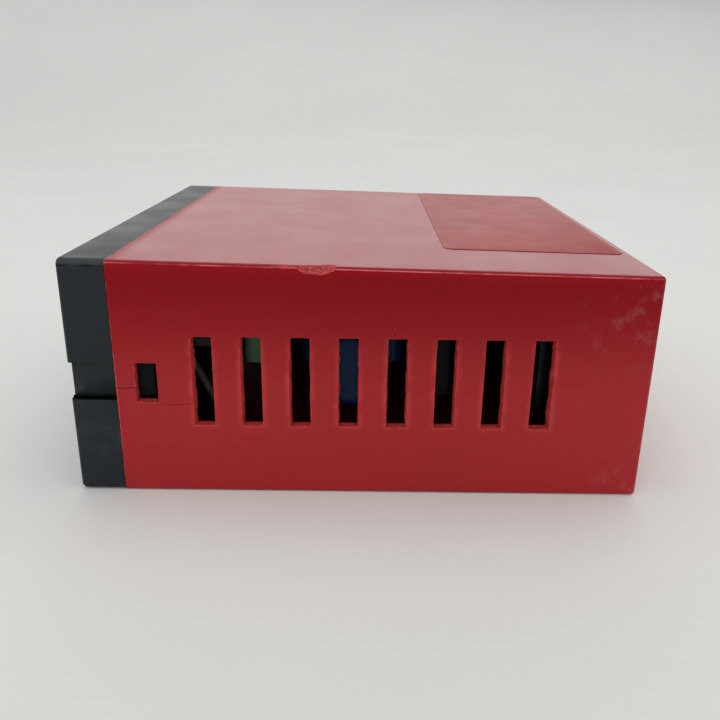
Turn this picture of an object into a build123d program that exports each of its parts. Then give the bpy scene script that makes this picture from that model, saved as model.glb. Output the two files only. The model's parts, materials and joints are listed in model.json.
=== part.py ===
from build123d import *
from math import radians, tan
import os

# Small network firewall: a moulded red shell, open at the front, closed by a grey bezel.
# Front faces -Y, +X is the vented side, +Z is up, and the origin is the centre of the base.
# Every length is in millimetres.

# Envelope, which narrows and drops a little towards the back for mould draft
depth = 120.0
front_y = -depth / 2
rear_y = depth / 2
front_half_width = 59.7
side_draft = 1.1
front_height = 50.7
top_draft = 2.2

# Casing shell
wall = 2.4
bezel_depth = 9.6
seam_gap = 0.1
edge_radius = 1.0
slot_count = 8
slot_pitch = 10.0
slot_width = 4.3
first_slot_y = -34.6
slot_bottom = 15.4
slot_top = 35.0
window_front_y = -46.4
window_rear_y = -41.8
window_bottom = 20.5
window_top = 29.2
vented_side = 1
rail_height = 1.5
rail_reach = 1.6
rail_front_y = -44.0
rail_ceiling = 46.2

# Front bezel
bezel_plate = 3.0
bezel_wall = 3.7
bezel_front_radius = 0.8
bezel_edge_radius = 1.5
spigot_inset = wall + 0.15
spigot_rear_y = -47.6
band_bottom = 21.0
band_top = 29.1
band_depth = 0.75
band_side_depth = 0.6
band_lip = 1.0
opening_gap = 0.25
tongue_height = 7.4
tongue_rear_y = -41.9
hook_recess = 1.7
hook_gap = 0.3
hook_slope = 0.7
ear_x = 36.9
ear_y = -40.8
ear_bottom = 45.0
ear_top = 47.5
pocket_depth = 3.0
pocket_floor = 2.5
pocket_wall = 1.5
pocket_x = (-51.5, 10.5)
pocket_z = (2.6, 18.8)

# Type label on the top
label_x = (-57.2, 38.0)
label_y = (18.0, 58.0)
label_corner = 2.0
label_film = 0.15

# Main board, hung near the top with its parts on the underside
board_bottom = 43.4
board_thickness = 1.6
board_half_width = 55.6
board_front_y = -49.0
board_rear_y = 52.0

# Network sockets
jack_names = ("wan", "lan1", "lan2", "lan3", "lan4")
jack_pitch = 18.0
first_jack_x = -46.0
jack_width = 15.9
jack_height = 13.4
jack_depth = 16.0
jack_front_y = -59.6
jack_cavity_width = 11.9
jack_cavity_height = 8.0
jack_cavity_depth = 12.6
shield_sheet = 0.25
contact_count = 8
contact_pitch = 1.02

# USB socket
usb_x = 46.5
usb_width = 14.4
usb_height = 7.0
usb_depth = 14.0

# Status lights and reset button, both in the band
band_middle = (band_bottom + band_top) / 2
light_x = (-46.0, -28.0, -10.0, 8.0, 26.0, 38.0, 46.0)
light_radius = 1.4
status_board_y = -49.6
status_board_thickness = 1.6
reset_x = 17.0
reset_radius = 2.0

# Power switch
rocker_x = -4.0
rocker_z = 10.6
rocker_pivot_y = -54.9
rocker_tilt = 9.0
rocker_half_length = 8.0
rocker_half_width = 4.95
rocker_case_half_width = 9.5
rocker_case_half_height = 6.4
rocker_case_rear_y = -43.0
terminal_x = 3.6
terminal_half_width = 2.4
terminal_half_thickness = 0.4

# Power connector
plug_x = -33.5
plug_z = 10.6
plug_pitch = 5.08
plug_width = 15.2
plug_height = 11.2
plug_front_y = -59.8
plug_rear_y = -48.2
header_half_width = 9.0
header_half_height = 6.8
header_screw_x = 11.6
pin_half = 0.5

os.makedirs("parts", exist_ok=True)


def half_width(y):
    return front_half_width - side_draft * (y - front_y) / depth


def height(y):
    return front_height - top_draft * (y - front_y) / depth


def box(x0, x1, y0, y1, z0, z1):
    """A box between two opposite corners, given in either order."""
    block = Box(abs(x1 - x0), abs(y1 - y0), abs(z1 - z0))
    return Pos((x0 + x1) / 2, (y0 + y1) / 2, (z0 + z1) / 2) * block


def cylinder_y(x, z, y0, y1, radius):
    """A cylinder along Y."""
    return Pos(x, (y0 + y1) / 2, z) * Rot(90, 0, 0) * Cylinder(radius, abs(y1 - y0))


def cylinder_z(x, y, z0, z1, radius):
    """A cylinder along Z."""
    return Pos(x, y, (z0 + z1) / 2) * Cylinder(radius, abs(z1 - z0))


def profile_along_z(points, z0, z1):
    """An outline in X and Y, extruded from z0 to z1."""
    face = make_face(Polyline(*[(x, y, z0) for x, y in points], close=True))
    return extrude(face, amount=z1 - z0, dir=(0, 0, 1))


def profile_along_x(points, x0, x1):
    """An outline in Y and Z, extruded from x0 to x1."""
    face = make_face(Polyline(*[(x0, y, z) for y, z in points], close=True))
    return extrude(face, amount=x1 - x0, dir=(1, 0, 0))


def drafted(y0, y1, inset):
    """The envelope between two depths, moved in by inset on its four long sides."""
    wide0, wide1 = half_width(y0) - inset, half_width(y1) - inset
    footprint = [(-wide0, y0), (wide0, y0), (wide1, y1), (-wide1, y1)]
    side_on = [(y0, inset), (y1, inset), (y1, height(y1) - inset), (y0, height(y0) - inset)]
    block = profile_along_z(footprint, inset, front_height)
    return block & profile_along_x(side_on, -front_half_width - 1, front_half_width + 1)


def long_edges(solid):
    """Edges that run front to back at the four outer corners."""
    return [edge for edge in solid.edges() if abs(edge.tangent_at(0.5).Y) > 0.99]


def save(node, solids):
    """Write one sub-part, whether one solid or a group of separate ones."""
    group = solids if isinstance(solids, list) else [solids]
    bodies = [s for part in group for s in part.solids()]
    shape = bodies[0] if len(bodies) == 1 else Compound(children=bodies)
    export_step(shape, f"parts/{node}.step")


def wire_path(points):
    """Straight runs joined by arcs as large as the shorter run beside each corner allows."""
    radii = []
    for before, at, after in zip(points, points[1:], points[2:]):
        arriving, leaving = Vector(*at) - Vector(*before), Vector(*after) - Vector(*at)
        shorter = min(arriving.length, leaving.length)
        radii.append(0.45 * shorter / tan(radians(arriving.get_angle(leaving)) / 2))
    print("wire radii", [round(r, 1) for r in radii])
    return FilletPolyline(*points, radius=radii)


def wire(points, radius):
    path = wire_path(points)
    start = Plane(origin=path @ 0, z_dir=path % 0)
    return sweep(start * Circle(radius), path=path)


# ---------------------------------------------------------------- casing and bezel

def casing_shell():
    mouth_y = front_y + bezel_depth
    shell = drafted(mouth_y, rear_y, 0)
    rear_edges = shell.faces().sort_by(Axis.Y)[-1].edges()
    shell = fillet([*long_edges(shell), *rear_edges], edge_radius)
    shell -= drafted(mouth_y - 1, rear_y - wall, wall)
    inside, outside = board_half_width - 5, front_half_width + 2
    for index in range(slot_count):
        y = first_slot_y + index * slot_pitch
        shell -= box(vented_side * inside, vented_side * outside, y, y + slot_width, slot_bottom, slot_top)
    board_top = board_bottom + board_thickness
    rail_inner, rail_outer = board_half_width - rail_reach, half_width(rear_y) - wall / 2
    for side in (-1, 1):
        shell -= box(side * inside, side * outside, window_front_y, window_rear_y, window_bottom, window_top)
        for z0, z1 in ((board_bottom - rail_height, board_bottom), (board_top, rail_ceiling)):
            shell += box(side * rail_inner, side * rail_outer, rail_front_y, board_rear_y, z0, z1)
    return shell


def band_cutter():
    """The recessed band across the front, with a sloping lower edge, and its return on the sides."""
    proud = 0.2
    cutter = profile_along_x(
        [
            (front_y - proud, band_bottom),
            (front_y + band_depth, band_bottom + band_lip),
            (front_y + band_depth, band_top),
            (front_y - proud, band_top),
        ],
        -front_half_width - 1,
        front_half_width + 1,
    )
    for side in (-1, 1):
        side_face = half_width(front_y + bezel_depth / 2)
        cutter += box(
            side * (side_face - band_side_depth), side * 62,
            front_y - proud, front_y + bezel_depth + 1, band_bottom, band_top,
        )
    return cutter


def latch_tongue(side):
    """A springy tongue behind the bezel with a sloping hook that fills the casing's window."""
    seat = half_width(window_rear_y)
    root_y = spigot_rear_y - 2.5
    tip_y = tongue_rear_y + 1.5
    inner, outer, hook = seat - bezel_wall, seat - spigot_inset, seat - hook_recess
    outline = [
        (inner, root_y),
        (inner, tip_y),
        (outer, tip_y),
        (outer, window_rear_y - hook_gap),
        (hook, window_rear_y - hook_gap - hook_slope),
        (hook, window_front_y + hook_gap),
        (outer, window_front_y + hook_gap),
        (outer, root_y),
    ]
    z1 = window_top - hook_gap
    return profile_along_z([(side * x, y) for x, y in outline], z1 - tongue_height, z1)


def front_bezel():
    seam_y = front_y + bezel_depth - seam_gap
    bezel = drafted(front_y, seam_y, 0)
    bezel = fillet(long_edges(bezel), bezel_edge_radius)
    bezel = fillet(bezel.faces().sort_by(Axis.Y)[0].edges(), bezel_front_radius)
    bezel -= band_cutter()
    bezel += drafted(seam_y - 2, spigot_rear_y, spigot_inset)
    hollow = drafted(front_y + bezel_plate, spigot_rear_y + 1, bezel_wall)
    pocket_back = box(
        pocket_x[0] - pocket_wall, pocket_x[1] + pocket_wall,
        front_y, front_y + pocket_depth + pocket_floor,
        0.5, pocket_z[1] + pocket_wall,
    )
    bezel -= hollow - pocket_back
    bezel -= box(*pocket_x, front_y - 1, front_y + pocket_depth, *pocket_z)

    sockets = [(first_jack_x + order * jack_pitch, jack_width, jack_height)
               for order in range(len(jack_names))]
    for x, width, tall in [*sockets, (usb_x, usb_width, usb_height)]:
        half = width / 2 + opening_gap
        bezel -= box(x - half, x + half, front_y - 1, front_y + 5,
                     board_bottom - tall - opening_gap, board_bottom + opening_gap)
    for x in light_x:
        bezel -= cylinder_y(x, band_middle, front_y - 1, front_y + 5, light_radius + 0.1)
    bezel -= cylinder_y(reset_x, band_middle, front_y - 1, front_y + 5, reset_radius + 0.1)
    for x, z, half_w, half_h in (
        (rocker_x, rocker_z, rocker_case_half_width + 0.1, rocker_case_half_height + 0.1),
        (plug_x, plug_z, header_half_width + 0.2, header_half_height + 0.2),
    ):
        bezel -= box(x - half_w, x + half_w, front_y, spigot_rear_y - 2.4, z - half_h, z + half_h)
    for side in (-1, 1):
        bezel -= cylinder_y(plug_x + side * header_screw_x, plug_z, front_y, spigot_rear_y - 2.4, 1.1)
        bezel += latch_tongue(side)
        bezel += box(side * (ear_x - 3.5), side * (ear_x + 3.5), -57.5, -38, ear_bottom, ear_top)
        bezel -= cylinder_z(side * ear_x, ear_y, ear_bottom - 1, ear_top + 1, 1.05)
    return bezel


def type_label():
    x0, x1 = label_x
    y0, y1 = label_y
    middle_y = (y0 + y1) / 2
    slope = Vector(0, depth, -top_draft).normalized()
    plane = Plane(origin=((x0 + x1) / 2, middle_y, height(middle_y)), x_dir=(1, 0, 0),
                  z_dir=Vector(1, 0, 0).cross(slope))
    return extrude(plane * RectangleRounded(x1 - x0, y1 - y0, label_corner), amount=label_film)


save("casing_shell", casing_shell())
save("front_bezel", front_bezel())
save("type_label", type_label())


# ---------------------------------------------------------------- boards and front sockets

def main_board():
    board = box(-board_half_width, board_half_width, board_front_y, board_rear_y,
                board_bottom, board_bottom + board_thickness)
    for side in (-1, 1):
        board -= cylinder_z(side * ear_x, ear_y, board_bottom - 1, ear_bottom + 1, 1.35)
    return board


def board_screws():
    screws = []
    for side in (-1, 1):
        shank = cylinder_z(side * ear_x, ear_y, board_bottom, ear_top - 0.1, 1.0)
        head = cylinder_z(side * ear_x, ear_y, board_bottom - 1.5, board_bottom, 2.2)
        drive = box(-1.6, 1.6, -0.25, 0.25, -0.8, 0)
        drive += box(-0.25, 0.25, -1.6, 1.6, -0.8, 0)
        screws.append(shank + head - Pos(side * ear_x, ear_y, board_bottom - 0.7) * drive)
    return screws


def jack_housing(x):
    z_top = board_bottom - shield_sheet
    z_bottom = board_bottom - jack_height + shield_sheet
    half = jack_width / 2 - shield_sheet
    front = jack_front_y + 0.3
    body = box(x - half, x + half, front, jack_front_y + jack_depth - 0.4, z_bottom, z_top)
    cavity_z = z_bottom + 2.0
    body -= box(x - jack_cavity_width / 2, x + jack_cavity_width / 2, front - 1,
                front + jack_cavity_depth, cavity_z, cavity_z + jack_cavity_height)
    body -= box(x - 3.2, x + 3.2, front - 1, front + 9.0, cavity_z - 1.3, cavity_z + 1)
    for index in range(contact_count):
        slot_x = x + (index - (contact_count - 1) / 2) * contact_pitch
        body -= box(slot_x - 0.3, slot_x + 0.3, front + 1.2, front + 9.5,
                    cavity_z + jack_cavity_height - 0.5, cavity_z + jack_cavity_height + 1.1)
    return body


def jack_shield(x):
    z1, z0 = board_bottom, board_bottom - jack_height
    half = jack_width / 2
    y1 = jack_front_y + jack_depth
    shell = box(x - half, x + half, jack_front_y, y1, z0, z1)
    shell -= box(x - half + shield_sheet, x + half - shield_sheet, jack_front_y + 0.3, y1 - 0.4,
                 z0 + shield_sheet, z1 - shield_sheet)
    shell -= box(x - 6.6, x + 6.6, jack_front_y - 1, jack_front_y + 1,
                 z0 + shield_sheet + 0.4, z1 - shield_sheet - 1.3)
    return shell


def jack_contacts(x):
    """Eight spring wires that slope down into the cavity from its roof."""
    front = jack_front_y + 0.3
    roof = board_bottom - jack_height + shield_sheet + 2.0 + jack_cavity_height
    wires = []
    for index in range(contact_count):
        wire_x = x + (index - (contact_count - 1) / 2) * contact_pitch
        outline = [
            (front + 1.5, roof + 0.35), (front + 8.0, roof - 1.6), (front + 8.4, roof - 1.6),
            (front + 8.4, roof - 1.3), (front + 8.1, roof - 1.3), (front + 1.5, roof + 0.7),
        ]
        wires.append(profile_along_x(outline, wire_x - 0.18, wire_x + 0.18))
    return wires


def usb_shell():
    x0, x1 = usb_x - usb_width / 2, usb_x + usb_width / 2
    z0, z1 = board_bottom - usb_height, board_bottom
    y0, y1 = jack_front_y, jack_front_y + usb_depth
    shell = box(x0, x1, y0, y1, z0, z1)
    return shell - box(x0 + 0.4, x1 - 0.4, y0 - 1, y1 - 0.4, z0 + 0.4, z1 - 0.4)


def usb_tongue():
    z1 = board_bottom - 0.4
    y1 = jack_front_y + usb_depth - 0.4
    block = box(usb_x - 6.8, usb_x + 6.8, y1 - 4.5, y1, board_bottom - usb_height + 0.4, z1)
    tongue = box(usb_x - 5.6, usb_x + 5.6, jack_front_y + 0.9, y1 - 4, z1 - 3.1, z1 - 1.3)
    return block + tongue


save("main_board", main_board())
save("board_screws", board_screws())
for order, jack in enumerate(jack_names):
    jack_x = first_jack_x + order * jack_pitch
    save(f"{jack}_jack_housing", jack_housing(jack_x))
    save(f"{jack}_jack_shield", jack_shield(jack_x))
    save(f"{jack}_jack_contacts", jack_contacts(jack_x))
save("usb_shell", usb_shell())
save("usb_tongue", usb_tongue())


# ---------------------------------------------------------------- status lights and reset button

status_front_y = status_board_y - status_board_thickness


def status_board():
    return box(-51, 52, status_front_y, status_board_y, 19.6, 28.6)


def status_leds():
    return [box(x - 1.6, x + 1.6, status_front_y - 1.1, status_front_y, 23.4, 26.7) for x in light_x]


def status_light_pipes():
    """Clear rods with a domed end in the band and a foot over each light."""
    pipes = []
    for x in light_x:
        rod = cylinder_y(x, band_middle, -59.3, status_front_y - 1.2, light_radius)
        rod = chamfer(rod.faces().sort_by(Axis.Y)[0].edges(), 0.35)
        collar = cylinder_y(x, band_middle, -56.9, -56.1, light_radius + 0.7)
        pipes.append(rod + collar)
    return pipes


def status_ribbon():
    """A flat jumper that leaves the status board, bends up and meets the main board."""
    x0, x1 = 40.0, 47.0
    side_on = Plane(origin=(x0, 0, 0), x_dir=(0, 1, 0), z_dir=(1, 0, 0))
    path = FilletPolyline((status_board_y, 24.0), (-42.5, 24.0), (-42.5, board_bottom), radius=4.0)
    return extrude(side_on * trace(path, line_width=0.9), amount=x1 - x0)


def reset_switch_case():
    case = box(reset_x - 3, reset_x + 3, status_front_y - 3.4, status_front_y, 21.8, 27.8)
    return case - cylinder_y(reset_x, band_middle, status_front_y - 4, status_front_y - 0.8, 1.7)


def reset_plunger():
    return cylinder_y(reset_x, band_middle, -55.4, status_front_y - 1.7, 1.65)


def reset_button():
    stem = cylinder_y(reset_x, band_middle, -59.7, -55.4, reset_radius)
    stem = fillet(stem.faces().sort_by(Axis.Y)[0].edges(), 0.4)
    return stem + cylinder_y(reset_x, band_middle, -56.9, -55.9, 3.0)


save("status_board", status_board())
save("status_leds", status_leds())
save("status_light_pipes", status_light_pipes())
save("status_ribbon", status_ribbon())
save("reset_switch_case", reset_switch_case())
save("reset_plunger", reset_plunger())
save("reset_button", reset_button())


# ---------------------------------------------------------------- power switch

pocket_y = front_y + pocket_depth


def terminal(side):
    """One flat blade, which runs from inside the switch's case to its soldered end."""
    x = rocker_x + side * terminal_x
    return box(x - terminal_half_width, x + terminal_half_width,
               rocker_case_rear_y - 3, rocker_case_rear_y + 7,
               rocker_z - terminal_half_thickness, rocker_z + terminal_half_thickness)


def rocker_case():
    half_w, half_h = rocker_case_half_width, rocker_case_half_height
    flange = box(rocker_x - half_w - 1, rocker_x + half_w + 1, pocket_y - 1.5, pocket_y,
                 rocker_z - half_h - 1, rocker_z + half_h + 1)
    flange = fillet(flange.edges().filter_by(Axis.Y), 1.2)
    case = flange + box(rocker_x - half_w, rocker_x + half_w, pocket_y, rocker_case_rear_y,
                        rocker_z - half_h, rocker_z + half_h)
    case -= box(rocker_x - 8.8, rocker_x + 8.8, pocket_y - 3, -50.2, rocker_z - 5.2, rocker_z + 5.2)
    for side in (-1, 1):
        case -= cylinder_z(rocker_x, rocker_pivot_y, rocker_z + side * 5.0, rocker_z + side * 6.1, 1.15)
        case -= terminal(side)
    return case


def power_rocker():
    """A shallow V paddle on two pins, at rest with its -X end pressed in."""
    long, wide = rocker_half_length, rocker_half_width
    outline = [(-long, -3.6), (0, -2.5), (long, -3.6), (long, 0.6), (4, 2.4), (-4, 2.4), (-long, 0.6)]
    paddle = profile_along_z(outline, -wide, wide)
    paddle = fillet(paddle.edges().filter_by(Axis.Z).sort_by(Axis.Y)[:2], 0.5)
    for side in (-1, 1):
        paddle += cylinder_z(0, 0, side * (wide - 0.5), side * (wide + 1.0), 1.1)
    return Pos(rocker_x, rocker_pivot_y, rocker_z) * Rot(0, 0, -rocker_tilt) * paddle


def switch_terminals():
    blades = [terminal(side) for side in (-1, 1)]
    return [chamfer(blade.edges().filter_by(Axis.Z).sort_by(Axis.Y)[-2:], 0.8) for blade in blades]


save("rocker_case", rocker_case())
save("power_rocker", power_rocker())
save("switch_terminals", switch_terminals())


# ---------------------------------------------------------------- pull-out power connector

pole_x = [plug_x + (index - 1) * plug_pitch for index in range(3)]
entry_z = plug_z - 2.4
screw_z = plug_z + 2.9
pin_z = plug_z - 1.5
flange_thickness = 1.3
header_rear_y = -44.5
header_floor_y = plug_rear_y + 0.4


def power_header():
    half_w, half_h = header_half_width, header_half_height
    flange = box(plug_x - header_screw_x - 2.9, plug_x + header_screw_x + 2.9, pocket_y - flange_thickness,
                 pocket_y, plug_z - half_h - 0.6, plug_z + half_h + 0.6)
    flange = fillet(flange.edges().filter_by(Axis.Y), 1.0)
    body = flange + box(plug_x - half_w, plug_x + half_w, pocket_y, header_rear_y,
                        plug_z - half_h, plug_z + half_h)
    body -= box(plug_x - half_w + 1.2, plug_x + half_w - 1.2, front_y - 1, header_floor_y,
                plug_z - half_h + 1.0, plug_z + half_h - 1.0)
    for side in (-1, 1):
        body -= cylinder_y(plug_x + side * header_screw_x, plug_z, front_y, -55, 1.35)
    for pin in header_pins():
        body -= pin
    return body


def header_pins():
    return [box(x - pin_half, x + pin_half, -52.6, header_rear_y + 4, pin_z - pin_half, pin_z + pin_half)
            for x in pole_x]


def header_screws():
    screws = []
    for side in (-1, 1):
        x = plug_x + side * header_screw_x
        seat_y = pocket_y - flange_thickness
        head = cylinder_y(x, plug_z, seat_y - 1.2, seat_y, 2.2)
        head = fillet(head.faces().sort_by(Axis.Y)[0].edges(), 0.5)
        head -= box(x - 2.5, x + 2.5, seat_y - 2, seat_y - 0.7, plug_z - 0.3, plug_z + 0.3)
        screws.append(head + cylinder_y(x, plug_z, seat_y - 0.1, -52.5, 1.1))
    return screws


def power_plug():
    """Three-way plug: wire entries below, clamp screws above, sockets for the pins behind."""
    half_w, half_h = plug_width / 2, plug_height / 2
    plug = box(plug_x - half_w, plug_x + half_w, plug_front_y, plug_rear_y, plug_z - half_h, plug_z + half_h)
    plug = fillet(plug.edges().filter_by(Axis.Y), 0.5)
    for x in pole_x:
        plug -= box(x - 1.7, x + 1.7, plug_front_y - 1, -53.0, entry_z - 1.7, entry_z + 1.7)
        plug -= cylinder_y(x, screw_z, plug_front_y - 1, -53.0, 1.7)
        plug -= box(x - 0.75, x + 0.75, -53.0, -48, pin_z - 0.75, pin_z + 0.75)
    return plug


def plug_clamps():
    """The metal cage behind each wire entry, open towards the wire."""
    clamps = []
    for x in pole_x:
        cage = box(x - 1.6, x + 1.6, -56.0, -53.1, entry_z - 1.6, entry_z + 1.6)
        clamps.append(cage - box(x - 1.2, x + 1.2, -57, -53.5, entry_z - 1.2, entry_z + 1.2))
    return clamps


def plug_screws():
    screws = []
    for x in pole_x:
        screw = cylinder_y(x, screw_z, -59.2, -53.2, 1.55)
        screw = chamfer(screw.faces().sort_by(Axis.Y)[0].edges(), 0.25)
        screws.append(screw - box(x - 2, x + 2, -60, -58.5, screw_z - 0.25, screw_z + 0.25))
    return screws


save("power_header", power_header())
save("header_pins", header_pins())
save("header_screws", header_screws())
save("power_plug", power_plug())
save("plug_clamps", plug_clamps())
save("plug_screws", plug_screws())


# ---------------------------------------------------------------- parts under the main board

under = board_bottom
processor_thickness = 1.6
cell_place = (-38.0, 10.0)
cell_radius = 10.0


def pins_up(places, z0, radius=0.35):
    """Leads from a part's top at z0 to the board's underside."""
    leads = [cylinder_z(x, y, z0, under, radius) for x, y in places]
    joined = leads[0]
    for lead in leads[1:]:
        joined += lead
    return joined


def radial_can(x, y, z_bottom, radius):
    """A can hung by its rubber end, with a rolled groove below the board."""
    z_top = under - 0.3
    can = cylinder_z(x, y, z_bottom, z_top, radius)
    can = fillet(can.faces().sort_by(Axis.Z)[0].edges(), 0.8)
    groove = Pos(x, y, z_top - 2.6) * Torus(radius + 0.25, 0.6)
    return can - groove + pins_up([(x - radius / 2, y), (x + radius / 2, y)], z_top - 0.2)


def surge_varistor():
    """A dipped disc that hangs on two kinked leads, flat towards the vents."""
    x, y, z, radius, thick = 50.6, -2.4, 25.8, 8.7, 5.6
    disc = Pos(x, y, z) * Rot(0, 90, 0) * Cylinder(radius, thick)
    disc = fillet(disc.edges().filter_by(GeomType.CIRCLE), thick / 2 - 0.35)
    leads = pins_up([(x - 0.8, y - 3.75), (x + 0.8, y + 3.75)], z + 6.5, 0.4)
    return disc + leads


def power_choke():
    """A boxed choke with its upright corners cut."""
    body = box(42.0, 51.0, 11.4, 19.4, 19.5, under)
    return chamfer(body.edges().filter_by(Axis.Z), 0.6)


def heat_sink():
    """An extruded sink: a base plate across the board and fins that reach down."""
    sink = box(33.0, 52.4, 37.7, 39.7, 17.4, under)
    for index in range(4):
        x = 33.0 + index * 4.4
        sink += box(x, x + 1.4, 39.5, 46.5, 17.4, under - 2)
    return sink


def regulator():
    tab = box(38.0, 48.4, 36.4, 37.7, 18.8, 34.2) - Pos(43.2, 37, 21.4) * Rot(90, 0, 0) * Cylinder(1.8, 4)
    body = tab + box(38.0, 48.4, 33.0, 36.6, 24.8, 34.2)
    return body + pins_up([(43.2 + dx, 34.6) for dx in (-2.54, 0, 2.54)], 34.0, 0.4)


def processor_heat_sink():
    """A low square sink whose plates hang below the processor."""
    x0, y0, side, base, plate, plates = -19.0, -14.0, 28.0, 2.0, 1.2, 9
    top = under - processor_thickness
    sink = box(x0, x0 + side, y0, y0 + side, top - base, top)
    for index in range(plates):
        y = y0 + index * (side - plate) / (plates - 1)
        sink += box(x0, x0 + side, y, y + plate, top - 10.0, top - base + 0.1)
    return sink


def chip(x, y, width, length, thick):
    return box(x - width / 2, x + width / 2, y - length / 2, y + length / 2, under - thick, under)


def network_transformers():
    places = [first_jack_x + order * jack_pitch for order in range(len(jack_names))]
    return [chip(x, -31.0, 12.0, 8.0, 6.0) for x in places]


def chip_resistors():
    parts = []
    for row in range(3):
        for column in range(8):
            parts.append(chip(-44.0 + column * 3.2, 30.0 + row * 4.0, 1.6, 0.8, 0.5))
    return parts


def cell_holder():
    ring = cylinder_z(*cell_place, under - 5.6, under, cell_radius + 1.6)
    ring -= cylinder_z(*cell_place, under - 6, under - 1.2, cell_radius + 0.15)
    x, y = cell_place
    return ring - box(x + 6, x + 14, y - 4, y + 4, under - 6, under - 1.2)


header_x = 50.6
header_y = -35.6
header_bottom = 31.1
wire_radius = 0.85
blade_top = rocker_z + terminal_half_thickness
solder_z = blade_top + wire_radius - 0.1


def wire_header():
    """The mated shell of a two-way wire connector."""
    shell = box(header_x - 3.2, header_x + 3.2, header_y - 5, header_y + 5, header_bottom, under)
    shell = chamfer(shell.edges().filter_by(Axis.Z), 0.5)
    return shell - box(header_x + 2.9, header_x + 4, header_y - 1, header_y + 1, 33.5, 38)


outer_wire_route = [
    (50.9, -38.0, header_bottom),
    (50.9, -37.8, 29.0),
    (50.5, -35.3, 24.9),
    (50.4, -30.9, 16.1),
    (47.0, -29.8, 10.6),
    (40.0, -31.2, 6.9),
    (30.0, -33.2, 5.8),
    (20.0, -35.0, 5.8),
    (10.0, -37.2, 7.4),
    (4.6, -38.4, solder_z),
    (-2.2, -38.6, solder_z),
]
inner_wire_route = [
    (48.5, -38.9, header_bottom),
    (48.3, -38.7, 27.4),
    (46.5, -36.2, 23.4),
    (46.3, -31.9, 14.6),
    (42.4, -32.8, 10.2),
    (34.0, -34.8, 8.6),
    (24.0, -36.8, 8.2),
    (14.0, -38.8, 9.6),
    (5.4, -41.0, solder_z + 1.7),
    (-3.4, -41.2, solder_z + 1.5),
    (-5.6, -41.1, solder_z),
    (-9.6, -41.1, solder_z),
]


save("wire_header", wire_header())
save("switch_wire_outer", wire(outer_wire_route, wire_radius))
save("switch_wire_inner", wire(inner_wire_route, wire_radius))
green_block = box(44.5, 53.0, -24.9, -15.6, 27.3, under)
save("input_filter", fillet(green_block.edges().filter_by(Axis.Z), 2.0))
save("surge_varistor", surge_varistor())
save("filter_capacitor_front", radial_can(43.2, -9.3, 25.2, 4.0))
save("filter_capacitor_rear", radial_can(43.2, 5.6, 25.4, 4.0))
save("power_choke", power_choke())
save("heat_sink", heat_sink())
save("regulator", regulator())
save("bulk_capacitor", radial_can(26.0, 14.0, 27.4, 9.0))
save("processor", chip(-5.0, 0.0, 24.0, 24.0, processor_thickness))
save("processor_heat_sink", processor_heat_sink())
save("switch_chip", chip(-30.0, -16.0, 14.0, 14.0, 1.4))
save("memory_chips", [chip(x, 24.0, 11.0, 13.0, 1.1) for x in (-12.0, 2.0)])
save("network_transformers", network_transformers())
crystal = chip(14.5, -14.0, 4.6, 11.0, 3.4)
save("crystal", fillet(crystal.edges().filter_by(Axis.Z), 2.2))
save("cell_holder", cell_holder())
save("coin_cell", cylinder_z(*cell_place, under - 4.6, under - 1.4, cell_radius))
save("chip_resistors", chip_resistors())
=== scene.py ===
"""Desk firewall appliance: the visible model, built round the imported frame."""

import json
import math
import random

import bmesh
import bpy
from bpy.props import FloatProperty, FloatVectorProperty, IntProperty, PointerProperty
from mathutils import Matrix, Vector


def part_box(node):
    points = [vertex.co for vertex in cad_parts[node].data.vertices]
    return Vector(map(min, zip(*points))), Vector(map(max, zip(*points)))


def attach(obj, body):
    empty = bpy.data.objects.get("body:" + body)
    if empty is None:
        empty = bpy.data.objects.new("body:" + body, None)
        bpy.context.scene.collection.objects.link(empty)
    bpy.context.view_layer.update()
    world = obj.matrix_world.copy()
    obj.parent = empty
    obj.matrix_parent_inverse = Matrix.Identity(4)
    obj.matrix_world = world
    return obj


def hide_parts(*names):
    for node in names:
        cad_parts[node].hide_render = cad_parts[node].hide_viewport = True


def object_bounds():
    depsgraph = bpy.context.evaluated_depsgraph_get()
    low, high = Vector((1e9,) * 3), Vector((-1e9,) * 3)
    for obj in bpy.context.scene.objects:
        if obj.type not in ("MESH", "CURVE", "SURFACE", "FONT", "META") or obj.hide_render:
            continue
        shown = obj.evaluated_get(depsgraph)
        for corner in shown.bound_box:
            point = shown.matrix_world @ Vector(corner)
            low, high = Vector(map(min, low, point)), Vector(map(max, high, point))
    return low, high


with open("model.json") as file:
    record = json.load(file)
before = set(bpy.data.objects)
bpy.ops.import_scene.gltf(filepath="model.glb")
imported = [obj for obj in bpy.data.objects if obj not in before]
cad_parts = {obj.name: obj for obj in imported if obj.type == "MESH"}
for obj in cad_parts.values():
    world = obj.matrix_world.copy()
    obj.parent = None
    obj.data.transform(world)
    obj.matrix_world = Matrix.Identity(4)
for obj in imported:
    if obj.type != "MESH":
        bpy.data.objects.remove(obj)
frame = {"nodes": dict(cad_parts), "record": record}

bl_info = {
    "name": "Firewall Appliance",
    "version": (1, 0, 0),
    "blender": (4, 5, 0),
    "location": "3D View > Sidebar > Appliance",
    "description": "Models and finishes a moulded network firewall round its CAD frame",
    "category": "Add Mesh",
}

CAD_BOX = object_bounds()
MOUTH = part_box("casing_shell")[0][1]
MM = 0.001
HAIR = 0.00002
JACKS = ("wan", "lan1", "lan2", "lan3", "lan4")
SIDES = (-1, 1)

# How far apart the frayed lines stand on a slot's wall, from the rim inwards
WALL_STEPS = (0.0004, 0.0006, 0.0007, 0.0014)

# The latch windows, and the groove under the band round the bezel
WINDOW_Y = (-0.0464, -0.0418)
WINDOW_Z = (0.0205, 0.0292)
BAND_BOTTOM = 0.0210
BAND_RECESS = 0.0006
GROOVE_DEPTH = 0.0008
GROOVE_TOP = BAND_BOTTOM + 0.00045

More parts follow.
